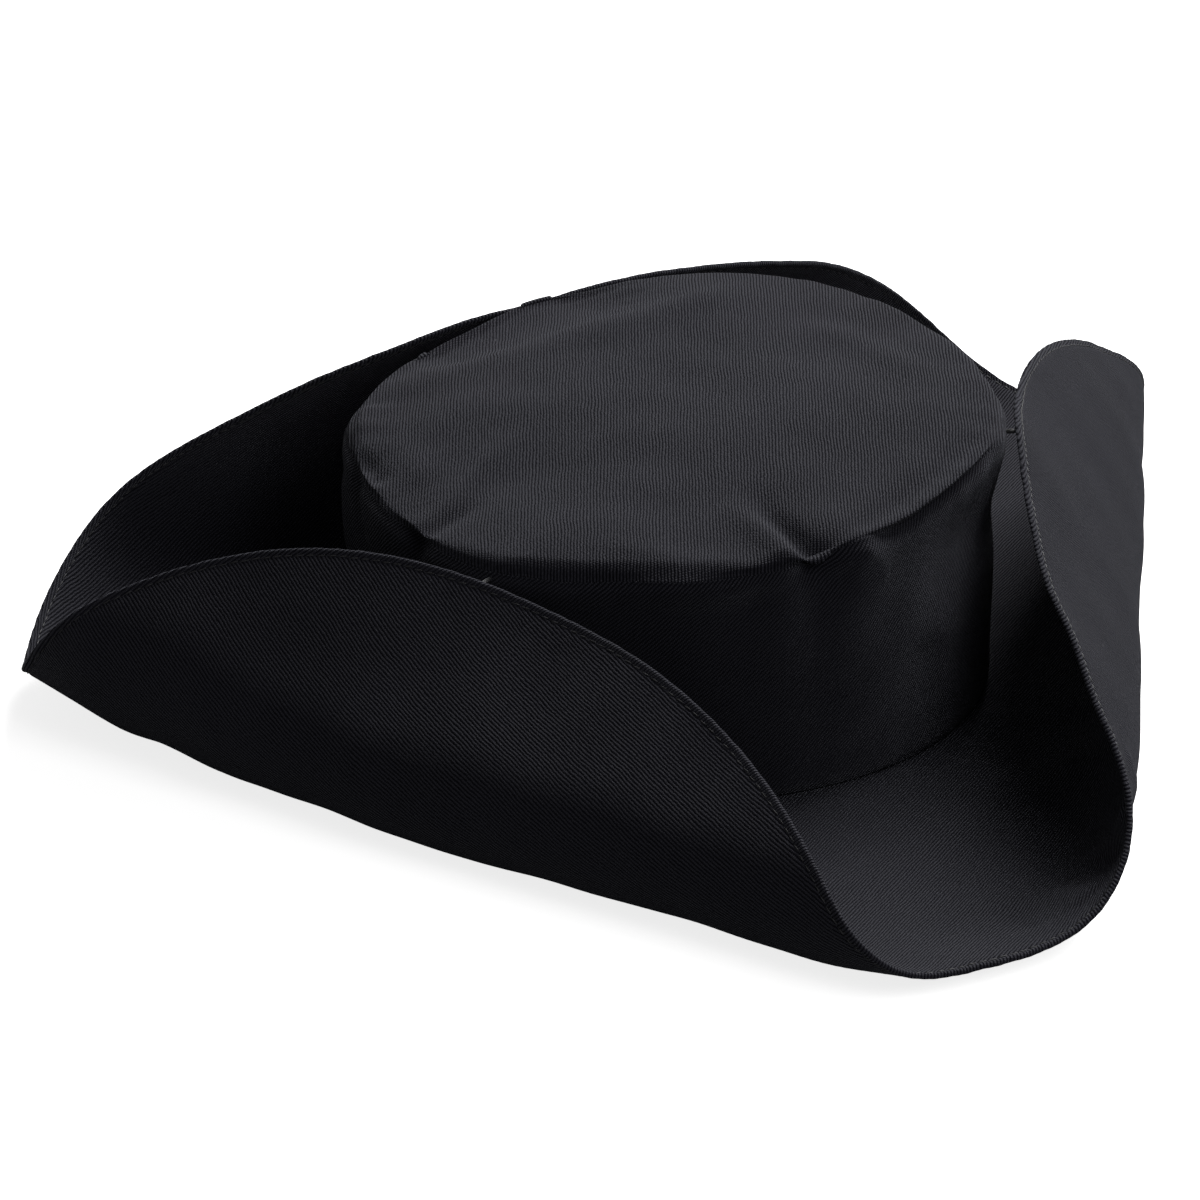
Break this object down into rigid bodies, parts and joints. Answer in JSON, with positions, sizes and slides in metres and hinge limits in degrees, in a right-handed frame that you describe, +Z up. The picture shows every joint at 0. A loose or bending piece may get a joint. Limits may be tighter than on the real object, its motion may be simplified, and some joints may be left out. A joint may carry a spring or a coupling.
{
  "type": "pirate hat",
  "caption": "Soft black cloth pirate hat with a low round crown and a wide stitched brim folded up on three sides and tacked to the crown.",
  "frame": {"origin": "centre of the head opening, on the plane of the sweatband's lower edge, which is the plane the hat lies on", "axes": "+Z up out of the crown's tip; -Y towards the front corner; +Y towards the back flap; +X the wearer's left"},
  "size_m": [0.3539, 0.3823, 0.0931],
  "materials": {
    "twill": "black cotton twill with fine diagonal ribs, matt",
    "hem": "black twill turned under and topstitched",
    "stiffener": "pale fused interlining, matt",
    "lining": "thin black plain-weave lining",
    "band": "black woven cotton headband",
    "thread": "black sewing thread"
  },
  "bodies": {
    "root": {"crown_tip_shell": "twill", "crown_tip_interlining": "stiffener", "crown_tip_lining": "lining", "crown_side_shell": "twill", "crown_side_interlining": "stiffener", "crown_side_lining": "lining", "brim_upper_cloth": "twill", "brim_interlining": "stiffener", "brim_under_cloth": "twill", "brim_hem": "hem", "sweatband": "band", "tack_back": "thread", "tack_right": "thread", "tack_left": "thread"}
  },
  "joints": []
}
